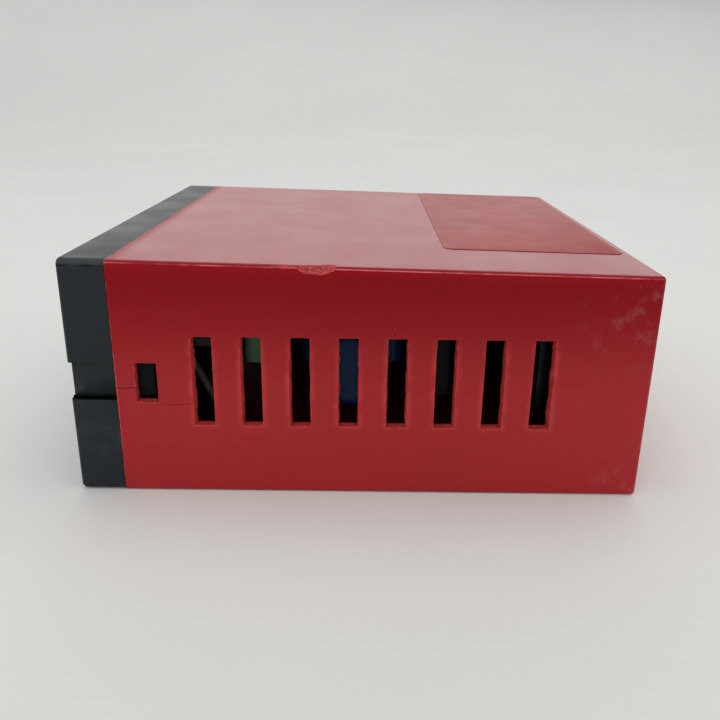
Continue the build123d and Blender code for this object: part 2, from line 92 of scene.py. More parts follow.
# Damage to the vented side: each chip is at a depth y, moved in and down from the corner edge
CHIP_MIDDLE_Y = -0.0080
CHIPS = (
    {"y": -0.0089, "inset": 0.0000, "sunk": 0.0004, "radii": (0.0010, 0.0036, 0.0013), "seed": 3},
    {"y": -0.0064, "inset": 0.0009, "sunk": -0.0002, "radii": (0.0010, 0.0017, 0.0006), "seed": 5},
    {"y": -0.0150, "inset": 0.0001, "sunk": 0.0001, "radii": (0.0003, 0.0034, 0.0005), "seed": 8},
)
CRACKS = (
    {"start": (-0.0506, 0.0236), "end": (-0.0460, 0.0238), "width": 0.00032, "depth": 0.0009, "seed": 2},
    {"start": (-0.0425, 0.0201), "end": (-0.0344, 0.0203), "width": 0.00020, "depth": 0.0006, "seed": 6},
)
CRACK_STEPS = 8
CRACK_SWAY = 0.00007

# The ribs that hold the board
RAIL_REACH = 0.0016
RAIL_UNDER = 0.0015
RAIL_CEILING = 0.0462
RAIL_ROOT = 0.058
RAIL_FRONT = -0.044


# ---------------------------------------------------------------- sizes and colours

def length(name, description, millimetres):
    return FloatProperty(name=name, description=description, default=millimetres * MM, min=0.0,
                         precision=5, unit="LENGTH", subtype="DISTANCE")


def colour(name, description, *rgb):
    return FloatVectorProperty(name=name, description=description, default=rgb, size=3,
                               min=0.0, max=1.0, subtype="COLOR")


class ApplianceSizes(bpy.types.PropertyGroup):
    """Sizes of the moulded case."""

    wall: length("Wall", "Thickness of the red shell", 2.4)
    shell_edge: length("Shell edge", "Radius of the shell's outer edges", 0.9)
    rear_half_width: length("Rear half width", "Half the width of the closed end", 58.6)
    rear_height: length("Rear height", "Height of the closed end", 48.5)
    slot_count: IntProperty(name="Slots", description="Vent slots in the vented side", default=8, min=1)
    first_slot: length("First slot", "From the shell's mouth to the first vent slot", 15.8)
    slot_pitch: length("Slot pitch", "Distance from one vent slot to the next", 10.0)
    slot_width: length("Slot width", "Width of a vent slot", 4.3)
    slot_bottom: length("Slot bottom", "Height of the lower end of the slots", 15.4)
    slot_top: length("Slot top", "Height of the upper end of the slots", 35.0)
    slot_rim: length("Slot rim", "Width of the worn rim round each slot", 0.10)
    slot_taper: length("Slot taper", "How far a slot closes in through the wall", 0.30)
    burr: length("Burr", "How far the cut wall of a slot wanders", 0.12)
    label_thickness: length("Label", "Thickness of the label film", 0.15)
    bezel_edge: length("Bezel edge", "Rounding of the bezel's small edges", 0.18)
    wire: length("Wire", "Diameter of the inside wires", 1.7)


class ApplianceColours(bpy.types.PropertyGroup):
    """Colours of the finishes."""

    shell: colour("Shell", "Red of the moulded shell", 0.43, 0.0075, 0.0130)
    # Paler than the shell: partly the cut plastic, partly painted light on the slot walls.
    shell_rim: colour("Slot rim", "Paler red where the slots were cut", 0.62, 0.042, 0.045)
    bezel: colour("Bezel", "Dark slate of the front bezel", 0.010, 0.015, 0.019)
    label: colour("Label", "Red-brown of the label film", 0.37, 0.022, 0.017)
    board: colour("Board", "Green of the solder mask", 0.012, 0.085, 0.040)
    sleeve: colour("Sleeve", "Blue of the capacitor sleeves", 0.003, 0.042, 0.150)
    wire: colour("Wire", "Grey-brown of the wires", 0.085, 0.066, 0.055)
    table: colour("Table", "Pale grey of the table top", 0.90, 0.902, 0.865)


def sizes():
    return bpy.context.scene.appliance_sizes


def colours():
    return bpy.context.scene.appliance_colours


# ---------------------------------------------------------------- working in edit mode

def clear_selection():
    if bpy.context.object and bpy.context.object.mode != "OBJECT":
        bpy.ops.object.mode_set(mode="OBJECT")
    bpy.ops.object.select_all(action="DESELECT")


def make_active(piece):
    clear_selection()
    piece.select_set(True)
    bpy.context.view_layer.objects.active = piece


def settle(piece, name):
    """Put a piece's place and turn into its mesh."""
    make_active(piece)
    bpy.ops.object.transform_apply(location=True, rotation=True, scale=True)
    piece.name = piece.data.name = name
    return piece


def add_cube(name, low, high):
    clear_selection()
    low, high = Vector(low), Vector(high)
    bpy.ops.mesh.primitive_cube_add(size=1, location=(low + high) / 2, scale=high - low)
    return settle(bpy.context.object, name)


def edit(piece, mode="FACE"):
    make_active(piece)
    bpy.ops.object.mode_set(mode="EDIT")
    bpy.ops.mesh.select_mode(type=mode)


def done_editing():
    bpy.ops.object.mode_set(mode="OBJECT")


def pick(piece, kind, test):
    """In edit mode, select the faces, edges or verts that pass a test."""
    bpy.ops.mesh.select_mode(type={"faces": "FACE", "edges": "EDGE", "verts": "VERT"}[kind])
    bpy.ops.mesh.select_all(action="DESELECT")
    mesh = bmesh.from_edit_mesh(piece.data)
    for element in getattr(mesh, kind):
        if test(element):
            element.select_set(True)
    mesh.select_flush_mode()
    bmesh.update_edit_mesh(piece.data)


def middle(edge):
    return (edge.verts[0].co + edge.verts[1].co) / 2


def direction(edge):
    return (edge.verts[1].co - edge.verts[0].co).normalized()


def apply_modifier(piece, kind, **settings):
    make_active(piece)
    modifier = piece.modifiers.new(kind.title(), kind)
    for name, value in settings.items():
        setattr(modifier, name, value)
    bpy.ops.object.modifier_apply(modifier=modifier.name)


def cut(piece, cutter, operation="DIFFERENCE"):
    apply_modifier(piece, "BOOLEAN", object=cutter, operation=operation, solver="EXACT",
                   material_mode="TRANSFER")
    bpy.data.objects.remove(cutter, do_unlink=True)


def joined(pieces, name):
    clear_selection()
    for piece in pieces:
        piece.select_set(True)
    bpy.context.view_layer.objects.active = pieces[0]
    bpy.ops.object.join()
    bpy.context.object.name = bpy.context.object.data.name = name
    return bpy.context.object


def smooth(piece, degrees=35):
    make_active(piece)
    bpy.ops.object.shade_smooth_by_angle(angle=math.radians(degrees), keep_sharp_edges=True)


def soften_edges(piece, width):
    apply_modifier(piece, "BEVEL", width=width, segments=2, limit_method="ANGLE",
                   angle_limit=math.radians(40), harden_normals=False, use_clamp_overlap=True)


def ready(piece, body, slot, finish, *nodes):
    """Hand a finished piece to its body, with its finish and the CAD nodes that it stands for."""
    if finish and not piece.data.materials:
        piece.data.materials.append(finish)
    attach(piece, body)
    if nodes:
        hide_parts(*nodes)


def from_frame(node, name, width):
    """A copy of a CAD node, merged into clean faces, with its hard edges rounded."""
    source = frame["nodes"][node]
    piece = bpy.data.objects.new(name, source.data.copy())
    bpy.context.scene.collection.objects.link(piece)
    piece.data.materials.clear()
    edit(piece, "VERT")
    bpy.ops.mesh.select_all(action="SELECT")
    bpy.ops.mesh.remove_doubles(threshold=2e-6)
    bpy.ops.mesh.dissolve_limited(angle_limit=math.radians(0.8))
    done_editing()
    soften_edges(piece, width)
    smooth(piece)
    return piece


# ---------------------------------------------------------------- finishes

class Finish:
    """A procedural finish on Object coordinates, with short ways to add its nodes."""

    def __init__(self, name, base, roughness, metallic=0.0, sheen=0.5):
        self.material = bpy.data.materials.new(name)
        self.material.use_nodes = True
        self.tree = self.material.node_tree
        self.shader = self.tree.nodes["Principled BSDF"]
        self.shader.inputs["Metallic"].default_value = metallic
        self.shader.inputs["Roughness"].default_value = roughness
        self.shader.inputs["Specular IOR Level"].default_value = sheen
        self.shader.inputs["Base Color"].default_value = (*base, 1)
        self.places = self.tree.nodes.new("ShaderNodeTexCoord").outputs["Object"]
        self.base = base
        self.roughness = roughness

    def feed(self, socket, value):
        if isinstance(value, (int, float)):
            socket.default_value = value
        elif isinstance(value, (tuple, Vector)):
            socket.default_value = (*value, 1) if len(value) == 3 and socket.type == "RGBA" else value
        else:
            self.tree.links.new(value, socket)

    def noise(self, scale, detail=3.0, roughness=0.5, stretch=None):
        node = self.tree.nodes.new("ShaderNodeTexNoise")
        node.inputs["Scale"].default_value = scale
        node.inputs["Detail"].default_value = detail
        node.inputs["Roughness"].default_value = roughness
        place = self.places
        if stretch:
            place = self.vector("MULTIPLY", place, stretch)
        self.tree.links.new(place, node.inputs["Vector"])
        return node.outputs["Fac"]

    def cells(self, scale):
        node = self.tree.nodes.new("ShaderNodeTexVoronoi")
        node.inputs["Scale"].default_value = scale
        self.tree.links.new(self.places, node.inputs["Vector"])
        return node.outputs["Distance"]

    def vector(self, operation, first, second):
        node = self.tree.nodes.new("ShaderNodeVectorMath")
        node.operation = operation
        self.feed(node.inputs[0], first)
        self.feed(node.inputs[1], second)
        return node.outputs["Value" if operation == "DISTANCE" else "Vector"]

    def math(self, operation, first, second=0.0):
        node = self.tree.nodes.new("ShaderNodeMath")
        node.operation = operation
        self.feed(node.inputs[0], first)
        self.feed(node.inputs[1], second)
        return node.outputs["Value"]

    def ramp(self, value, low, high, out_low=0.0, out_high=1.0):
        node = self.tree.nodes.new("ShaderNodeMapRange")
        node.interpolation_type = "SMOOTHSTEP"
        for socket, number in zip(node.inputs[1:5], (low, high, out_low, out_high)):
            socket.default_value = number
        self.tree.links.new(value, node.inputs["Value"])
        return node.outputs["Result"]

    def mix(self, factor, first, second):
        node = self.tree.nodes.new("ShaderNodeMix")
        node.data_type = "RGBA"
        self.feed(node.inputs["Factor"], factor)
        self.feed(node.inputs[6], first)
        self.feed(node.inputs[7], second)
        return node.outputs[2]

    def axis(self, letter):
        node = self.tree.nodes.new("ShaderNodeSeparateXYZ")
        self.tree.links.new(self.places, node.inputs["Vector"])
        return node.outputs[letter]

    def spot(self, place, size, inner=0.0):
        """1 at a place, falling to 0 at a distance in metres."""
        away = self.vector("DISTANCE", self.places, tuple(place))
        return self.ramp(away, inner, size, 1.0, 0.0)

    def shade(self, amount, scale):
        """The base colour, a little lighter and darker in soft patches."""
        dark = tuple(channel * (1 - amount) for channel in self.base)
        light = tuple(min(1.0, channel * (1 + amount)) for channel in self.base)
        return self.mix(self.ramp(self.noise(scale, 4.0), 0.3, 0.7), dark, light)

    def colour(self, value):
        self.feed(self.shader.inputs["Base Color"], value)

    def sheen(self, value):
        self.feed(self.shader.inputs["Specular IOR Level"], value)

    def gloss(self, spread, scale, extra=None):
        """Roughness that wanders by spread, plus an extra amount where a mask says so."""
        value = self.ramp(self.noise(scale, 4.0), 0.25, 0.75,
                          self.roughness - spread, self.roughness + spread)
        if extra is not None:
            value = self.math("ADD", value, extra)
        self.feed(self.shader.inputs["Roughness"], value)

    def bump(self, *layers):
        """Stack bumps, each a height and a depth in metres."""
        normal = None
        for height, depth in layers:
            node = self.tree.nodes.new("ShaderNodeBump")
            node.inputs["Distance"].default_value = depth
            node.inputs["Strength"].default_value = 1.0
            self.tree.links.new(height, node.inputs["Height"])
            if normal is not None:
                self.tree.links.new(normal, node.inputs["Normal"])
            normal = node.outputs["Normal"]
        self.tree.links.new(normal, self.shader.inputs["Normal"])


def shell_plastic():
    """Satin red moulding: grain, painted shade darker towards the top, a painted highlight line along the
    rounded top edges, a rubbed line along the seam, dust specks and scuffs.
    """
    finish = Finish("shell_plastic", tuple(colours().shell), 0.40, sheen=0.36)
    low, high = CAD_BOX
    body = finish.shade(0.05, 16)
    # Painted shade: the side darkens towards the top and over the top face, and the same mask lowers the
    # specular level there.
    painted_top_shade = finish.ramp(finish.axis("Z"), high[2] * 0.40, high[2] * 0.93)
    body = finish.mix(finish.math("MULTIPLY", painted_top_shade, 0.42), body, (0.10, 0.001, 0.004))
    beside, below = shell_place(finish)
    # Painted shade along the top edge: from 3 mm under the edge up over the top face, the colour mixes
    # towards a deep saturated red.
    under_edge = finish.ramp(below, -0.0030, -0.0008, 0.0, 0.45)
    body = finish.mix(under_edge, body, (0.40, 0.005, 0.018))
    top_face = finish.ramp(below, -0.30 * sizes().shell_edge, -0.04 * sizes().shell_edge)
    sheen = finish.math("SUBTRACT", finish.math("MULTIPLY", top_face, 0.49),
                        finish.math("MULTIPLY", painted_top_shade, 0.28))
    finish.sheen(finish.math("ADD", sheen, 0.38))
    rubbed = finish.noise(260, 6.0, 0.7)
    corner_top = finish.spot((high[0] - 0.001, high[1] - 0.004, high[2] - 0.008), 0.020)
    corner_low = finish.spot((high[0] - 0.001, high[1] - 0.003, 0.003), 0.014)
    places = finish.math("MAXIMUM", corner_top, corner_low)
    scuff = finish.math("MULTIPLY", places, finish.ramp(rubbed, 0.50, 0.72))
    body = finish.mix(finish.math("MULTIPLY", scuff, 0.20), body, (0.55, 0.30, 0.30))
    specks = finish.ramp(finish.cells(330), 0.035, 0.06, 1.0, 0.0)
    sparse = finish.ramp(finish.noise(75, 2.0), 0.60, 0.66)
    dust = finish.math("MULTIPLY", specks, sparse)
    body = finish.mix(finish.math("MULTIPLY", dust, 0.45), body, (0.60, 0.36, 0.34))
    dashes = finish.ramp(finish.noise(620, 2.0, 0.5, stretch=(1.6, 0.6, 1.4)), 0.72, 0.77)
    body = finish.mix(finish.math("MULTIPLY", dashes, 0.40), body, (0.10, 0.01, 0.012))
    body = finish.mix(finish.math("MULTIPLY", strained_slots(finish), 0.52), body, (0.78, 0.075, 0.050))
    # A painted highlight along the rounded top edges, and a pale rubbed line along the seam with the bezel.
    highlight_and_rubbed_rim = finish.math("MAXIMUM", edge_highlight_line(finish, beside, below), rubbed_mouth(finish))
    body = finish.mix(finish.math("MULTIPLY", highlight_and_rubbed_rim, 0.80), body, (0.92, 0.25, 0.25))
    finish.colour(body)
    seam = finish.ramp(finish.axis("Y"), MOUTH, MOUTH + 0.0029, 0.16, 0.0)
    finish.gloss(0.03, 60, finish.math("ADD", finish.math("MULTIPLY", scuff, 0.15), seam))
    finish.bump((finish.noise(3800, 2.0), 0.000010), (finish.noise(30, 2.0), 0.00005))
    return finish.material


def strained_slots(finish):
    """Towards 1 in a soft band beside the long edges of the vent slots."""
    half = sizes().slot_width / 2
    from_first = finish.math("SUBTRACT", finish.axis("Y"), MOUTH + sizes().first_slot + half)
    number = finish.math("ROUND", finish.math("DIVIDE", from_first, sizes().slot_pitch))
    number = finish.math("MINIMUM", finish.math("MAXIMUM", number, 0.0), sizes().slot_count - 1.0)
    nearest = finish.math("MULTIPLY", number, sizes().slot_pitch)
    beside = finish.math("ABSOLUTE", finish.math("SUBTRACT", from_first, nearest))
    band = finish.ramp(beside, half, half + 0.0014, 1.0, 0.0)
    height = finish.axis("Z")
    above = finish.ramp(height, sizes().slot_bottom - 0.0012, sizes().slot_bottom + 0.0006)
    under = finish.ramp(height, sizes().slot_top - 0.004, sizes().slot_top + 0.001, 1.0, 0.0)
    faint = finish.ramp(finish.noise(210, 4.0, 0.6), 0.30, 0.72)
    masks = finish.math("MULTIPLY", finish.math("MULTIPLY", band, faint),
                        finish.math("MULTIPLY", above, under))
    return finish.math("MULTIPLY", masks, finish.ramp(finish.axis("X"), 0.050, 0.055))


def shell_place(finish):
    """How far a point stands outside the shell's side and above its top, both negative within."""
    low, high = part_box("casing_shell")
    share = finish.math("DIVIDE", finish.math("SUBTRACT", finish.axis("Y"), low[1]), high[1] - low[1])
    width = finish.math("ADD", finish.math("MULTIPLY", share, sizes().rear_half_width - high[0]), high[0])
    top = finish.math("ADD", finish.math("MULTIPLY", share, sizes().rear_height - high[2]), high[2])
    beside = finish.math("SUBTRACT", finish.math("ABSOLUTE", finish.axis("X")), width)
    return beside, finish.math("SUBTRACT", finish.axis("Z"), top)


def edge_highlight_line(finish, beside, below):
    """Painted highlight: 1 along a thin broken line on the rounded edges beside the top, 0 elsewhere."""
    edge = sizes().shell_edge
    from_side = finish.math("ABSOLUTE", finish.math("ADD", beside, 0.10 * edge))
    from_top = finish.math("ABSOLUTE", finish.math("ADD", below, 0.58 * edge))
    line = finish.ramp(finish.math("MAXIMUM", from_side, from_top), 0.00004, 0.00017, 1.0, 0.0)
    return finish.math("MULTIPLY", line, finish.ramp(finish.noise(95, 5.0, 0.7), 0.34, 0.62, 0.12, 1.0))


def rubbed_mouth(finish):
    """A pale broken line along the seam with the bezel."""
    line = finish.ramp(finish.axis("Y"), MOUTH + 0.0001, MOUTH + 0.00035, 1.0, 0.0)
    return finish.math("MULTIPLY", line, finish.ramp(finish.noise(160, 5.0, 0.7), 0.42, 0.66, 0.0, 0.5))


def shell_rim():
    """The cut red of the vent slots: paler, partly as painted light on the slot walls, drier and torn, with
    whitened crumbs, whiter still at the chip as a painted highlight.
    """
    finish = Finish("shell_rim", tuple(colours().shell_rim), 0.62)
    crumbs = finish.ramp(finish.noise(2300, 4.0, 0.7), 0.55, 0.68)
    # Whiter crumbs at the chip: broken plastic, and painted highlights on its faces.
    torn_and_lit = finish.spot((CAD_BOX[1][0], CHIP_MIDDLE_Y, CAD_BOX[1][2]), 0.0060, 0.0030)
    white = finish.math("ADD", finish.math("MULTIPLY", torn_and_lit, 0.40), 0.40)
    finish.colour(finish.mix(finish.math("MULTIPLY", crumbs, white), finish.shade(0.30, 900),
                             (0.86, 0.46, 0.44)))
    finish.gloss(0.10, 500)
    finish.bump((finish.noise(1500, 5.0, 0.7), 0.00012))
    return finish.material


def broken_finish():
    """The finish of every cut and broken edge of the shell, made once."""
    if "shell_rim" not in FINISHES:
        FINISHES["shell_rim"] = shell_rim()
    return FINISHES["shell_rim"]


def bezel_plastic():
    """Dark slate moulding with a coarse spark texture and dust in the grain, a painted highlight on the top
    rounding, and painted shade under that rounding, above the groove under the band and inside the shell.
    """
    finish = Finish("bezel_plastic", tuple(colours().bezel), 0.52, sheen=0.32)
    body = finish.shade(0.16, 45)
    smudge = finish.ramp(finish.noise(75, 5.0, 0.65), 0.52, 0.74)
    body = finish.mix(finish.math("MULTIPLY", smudge, 0.22), body, (0.075, 0.085, 0.090))
    specks = finish.ramp(finish.noise(3600, 2.0), 0.66, 0.76)
    body = finish.mix(finish.math("MULTIPLY", specks, 0.25), body, (0.15, 0.16, 0.16))
    low, high = CAD_BOX
    # Painted highlight: the top and its rounding turn paler.
    painted_top_highlight = finish.ramp(finish.axis("Z"), high[2] - 0.0022, high[2] - 0.0004)
    body = finish.mix(finish.math("MULTIPLY", painted_top_highlight, 0.20), body, (0.16, 0.165, 0.16))
    # Painted shade: a dark broken line where the top's rounding meets the side.
    under_edge = finish.math("ABSOLUTE", finish.math("SUBTRACT", finish.axis("Z"), high[2] - 0.0014))
    grime_and_shade = finish.ramp(under_edge, 0.00010, 0.00034, 1.0, 0.0)
    grime_and_shade = finish.math("MULTIPLY", grime_and_shade, finish.ramp(finish.noise(240, 4.0, 0.6), 0.32, 0.60, 0.15, 0.75))
    # Painted shadow above the groove under the band.
    above = finish.ramp(finish.axis("Z"), GROOVE_TOP, GROOVE_TOP + 0.0011, 0.85, 0.0)
    below = finish.ramp(finish.axis("Z"), BAND_BOTTOM - 0.00005, BAND_BOTTOM)
    grime_and_shade = finish.math("MAXIMUM", grime_and_shade, finish.math("MULTIPLY", above, below))
    # Painted shade on the parts of the bezel within the shell, such as the latch hooks seen through the
    # windows.
    painted_inside_shade = finish.ramp(finish.axis("Y"), MOUTH + 0.0002, MOUTH + 0.0014, 0.0, 0.78)
    grime_and_shade = finish.math("MAXIMUM", grime_and_shade, painted_inside_shade)
    body = finish.mix(grime_and_shade, body, (0.0015, 0.0020, 0.0022))
    finish.sheen(finish.ramp(grime_and_shade, 0.0, 1.0, 0.32, 0.06))
    finish.colour(body)
    finish.gloss(0.07, 90)
    finish.bump((finish.noise(2600, 3.0, 0.6), 0.000035), (finish.noise(60, 3.0), 0.00009))
    return finish.material


def label_film():
    """Matte printed film with a faint weave of the print, handling marks and lifted specks."""
    finish = Finish("label_film", tuple(colours().label), 0.55, sheen=0.58)
    body = finish.shade(0.10, 35)
    wiped = finish.ramp(finish.noise(150, 6.0, 0.7, stretch=(1.0, 2.4, 1.0)), 0.50, 0.80)
    body = finish.mix(finish.math("MULTIPLY", wiped, 0.30), body, (0.36, 0.075, 0.07))
    specks = finish.ramp(finish.noise(1300, 2.0), 0.70, 0.77)
    body = finish.mix(finish.math("MULTIPLY", specks, 0.4), body, (0.10, 0.012, 0.012))
    finish.colour(body)
    finish.gloss(0.04, 120)
    finish.bump((finish.noise(2200, 3.0), 0.000014), (finish.noise(140, 3.0), 0.000005))
    return finish.material


def moulded(name, base, roughness, dust=0.15, sheen=0.5):
    """Plain moulded plastic with grain, soft shade and settled dust."""
    finish = Finish(name, base, roughness, sheen=sheen)
    body = finish.shade(0.14, 120)
    pale = tuple(min(1.0, channel * 0.8 + 0.12) for channel in base)
    settled = finish.ramp(finish.noise(420, 5.0, 0.7), 0.55, 0.80)
    finish.colour(finish.mix(finish.math("MULTIPLY", settled, dust), body, pale))
    finish.gloss(0.07, 200)
    finish.bump((finish.noise(2800, 3.0), 0.00002))
    return finish.material


def metal(name, base, roughness, brushed=(1.0, 1.0, 1.0), tarnish=0.25):
    """Bare or plated metal with brushing, handling stains and fine pits."""
    finish = Finish(name, base, roughness, 1.0)
    lines = finish.noise(1600, 3.0, 0.6, stretch=brushed)
    stained = finish.ramp(finish.noise(160, 5.0, 0.65), 0.45, 0.75)
    dark = tuple(channel * 0.55 for channel in base)
    finish.colour(finish.mix(finish.math("MULTIPLY", stained, tarnish), finish.shade(0.06, 90), dark))
    finish.gloss(0.08, 300)
    finish.bump((lines, 0.000008), (finish.noise(500, 3.0), 0.00001))
    return finish.material


def board_mask():
    """Solder mask over copper: darker board, raised tracks and tiny tinned pads."""
    finish = Finish("board_mask", tuple(colours().board), 0.32)
    tracks = finish.ramp(finish.cells(420), 0.30, 0.34)
    lighter = tuple(channel * 1.7 for channel in finish.base)
    body = finish.mix(finish.math("MULTIPLY", tracks, 0.6), finish.shade(0.12, 80), lighter)
    pads = finish.ramp(finish.cells(610), 0.10, 0.12, 1.0, 0.0)
    finish.colour(finish.mix(pads, body, (0.55, 0.55, 0.50)))
    finish.gloss(0.05, 150)
    finish.bump((tracks, 0.00003), (finish.noise(1800, 2.0), 0.000008))
    return finish.material


def blue_sleeve():
    """Glossy shrink sleeve with faint draw lines and dust."""
    finish = Finish("blue_sleeve", tuple(colours().sleeve), 0.30)
    lines = finish.noise(700, 3.0, 0.6, stretch=(1.0, 1.0, 0.08))
    settled = finish.ramp(finish.noise(260, 5.0, 0.7), 0.50, 0.80)
    finish.colour(finish.mix(finish.math("MULTIPLY", settled, 0.12), finish.shade(0.12, 150),
                             (0.08, 0.14, 0.26)))
    finish.gloss(0.06, 250)
    finish.bump((lines, 0.00002), (finish.noise(1500, 2.0), 0.000008))
    return finish.material


def blue_epoxy():
    """Dipped epoxy: glossy, slightly orange-peeled and dusty."""
    finish = Finish("blue_epoxy", tuple(0.62 * channel for channel in colours().sleeve), 0.38, sheen=0.16)
    settled = finish.ramp(finish.noise(220, 5.0, 0.7), 0.45, 0.80)
    finish.colour(finish.mix(finish.math("MULTIPLY", settled, 0.08), finish.shade(0.16, 110),
                             (0.02, 0.06, 0.15)))
    finish.gloss(0.08, 180)
    finish.bump((finish.noise(380, 3.0), 0.00010), (finish.noise(1800, 2.0), 0.00001))
    return finish.material


def chip_epoxy():
    """Moulded chip package: matte black with a fine sand and paler mottling."""
    finish = Finish("chip_epoxy", (0.022, 0.022, 0.024), 0.55)
    finish.colour(finish.mix(finish.ramp(finish.noise(1200, 3.0), 0.45, 0.8), finish.shade(0.2, 200),
                             (0.06, 0.06, 0.062)))
    finish.gloss(0.08, 300)
    finish.bump((finish.noise(3200, 2.0), 0.00003))
    return finish.material


def lamp_lens():
    """Clear moulded light pipe, a little yellowed, with a soft core."""
    finish = Finish("lamp_lens", (0.78, 0.84, 0.74), 0.22)
    finish.shader.inputs["Transmission Weight"].default_value = 0.55
    finish.shader.inputs["IOR"].default_value = 1.49
    finish.colour(finish.shade(0.10, 500))
    finish.gloss(0.06, 700)
    finish.bump((finish.noise(900, 2.0), 0.00002))
    return finish.material


def wire_sleeve():
    """Soft wire insulation: grey-brown with handling dirt and a fine grain."""
    finish = Finish("wire_sleeve", tuple(colours().wire), 0.52)
    # Handling dirt: darker patches on the insulation.
    grime_and_shade = finish.ramp(finish.noise(350, 5.0, 0.7), 0.45, 0.75)
    finish.colour(finish.mix(finish.math("MULTIPLY", grime_and_shade, 0.35), finish.shade(0.12, 200),
                             (0.040, 0.032, 0.027)))
    finish.gloss(0.08, 400)
    finish.bump((finish.noise(1200, 3.0), 0.00002))
    return finish.material


def ribbed_cable():
    """Flat jumper whose cores show as ribs across its width."""
    finish = Finish("ribbed_cable", (0.34, 0.34, 0.35), 0.55)
    ribs = finish.math("SINE", finish.math("MULTIPLY", finish.axis("X"), 2 * math.pi / 0.00127))
    finish.colour(finish.mix(finish.ramp(ribs, -1.0, -0.3), (0.16, 0.16, 0.17), finish.shade(0.1, 300)))
    finish.gloss(0.06, 400)
    finish.bump((ribs, 0.00015), (finish.noise(1400, 3.0), 0.00002))
    return finish.material


def table_paper():
    """Pale matte table top with the faintest mottling, and painted shade darkening it towards the far
    backdrop.
    """
    finish = Finish("table_paper", tuple(colours().table), 0.90, sheen=0.08)
    # Painted shade: the table and backdrop darken by up to 23% towards the back.
    painted_far_shade = finish.ramp(finish.axis("X"), -1.2, 0.05, 0.23, 0.0)
    finish.colour(finish.mix(painted_far_shade, finish.shade(0.012, 7), (0.0, 0.0, 0.0)))
    finish.gloss(0.05, 20)
    finish.bump((finish.noise(900, 3.0), 0.00001))
    return finish.material


FINISHES = {}


def finish_for(slot):
    """Each material slot's finish, made once."""
    makers = {
        "red_shell": shell_plastic,
        "grey_bezel": bezel_plastic,
        "label_film": label_film,
        "board_green": board_mask,
        "blue_sleeve": blue_sleeve,
        "blue_epoxy": blue_epoxy,
        "chip_black": chip_epoxy,
        "clear_plastic": lamp_lens,
        "wire_sleeve": wire_sleeve,
        "grey_ribbon": ribbed_cable,
        "black_plastic": lambda: moulded("black_plastic", (0.009, 0.009, 0.010), 0.56, dust=0.03,
                                         sheen=0.22),
        "white_plastic": lambda: moulded("white_plastic", (0.66, 0.65, 0.60), 0.42),
        "lamp_plastic": lambda: moulded("lamp_plastic", (0.70, 0.62, 0.36), 0.35),
        "red_button": lambda: moulded("red_button", (0.34, 0.035, 0.03), 0.38),
        "switch_paddle": lambda: moulded("switch_paddle", (0.022, 0.022, 0.024), 0.32),
        "green_plastic": lambda: moulded("green_plastic", (0.030, 0.180, 0.070), 0.45),
        "green_filter": lambda: moulded("green_filter", (0.065, 0.170, 0.075), 0.55, dust=0.04),
        # grey_nylon is set near black: painted shade for the dark inside of the case.
        "grey_nylon": lambda: moulded("grey_nylon", (0.020, 0.021, 0.020), 0.62, dust=0.02, sheen=0.3),
        "bright_steel": lambda: metal("bright_steel", (0.62, 0.62, 0.63), 0.30, (1.0, 0.06, 1.0)),
        "screw_steel": lambda: metal("screw_steel", (0.56, 0.56, 0.58), 0.34, (1.0, 1.0, 0.3)),
        "tin": lambda: metal("tin", (0.66, 0.65, 0.62), 0.36),
        "sink_aluminium": lambda: metal("sink_aluminium", (0.018, 0.022, 0.021), 0.50, (1.0, 1.0, 0.05)),
        "contact_gold": lambda: metal("contact_gold", (0.80, 0.56, 0.20), 0.28, (1.0, 0.1, 1.0), 0.12),
    }
    if slot not in FINISHES:
        FINISHES[slot] = makers[slot]()
    return FINISHES[slot]


# ---------------------------------------------------------------- the red shell

def shell_half_width(y):
    """Half the shell's outer width at a depth, from its mouth to its closed end."""
    low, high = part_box("casing_shell")
    share = (y - low[1]) / (high[1] - low[1])
    return high[0] + share * (sizes().rear_half_width - high[0])


def shell_top(y):
    low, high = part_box("casing_shell")
    share = (y - low[1]) / (high[1] - low[1])
    return high[2] + share * (sizes().rear_height - high[2])


def shell_blank():
    """The open drafted box with rounded edges and its wall."""
    low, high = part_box("casing_shell")
    piece = add_cube("casing", low, high)
    edit(piece)
    pick(piece, "verts", lambda vert: vert.co.y > 0)
    bpy.ops.transform.resize(
        value=(sizes().rear_half_width / high[0], 1.0, sizes().rear_height / high[2]),
        center_override=(0.0, high[1], 0.0),
    )
    pick(piece, "faces", lambda face: face.normal.y < -0.9)
    bpy.ops.mesh.delete(type="FACE")
    pick(piece, "edges", lambda edge: not edge.is_boundary)
    bpy.ops.mesh.bevel(offset=sizes().shell_edge, segments=6, affect="EDGES")
    done_editing()
    apply_modifier(piece, "SOLIDIFY", thickness=sizes().wall, offset=-1.0, use_even_offset=True,
                   use_rim=True)
    return piece


def frayed(draw):
    """A wandering line: how far a torn wall stands in at a height, from -1 to 1 or so."""
    waves = [(draw.uniform(0, 6.28), period * MM, share)
             for period, share in ((7.3, 0.50), (3.1, 0.34), (1.3, 0.26), (0.7, 0.18))]

    def line(z):
        slow = sum(share * math.sin(6.28 * z / period + phase) for phase, period, share in waves)
        return slow + draw.uniform(-0.45, 0.45) + 1.6 * draw.random() ** 7

    return line


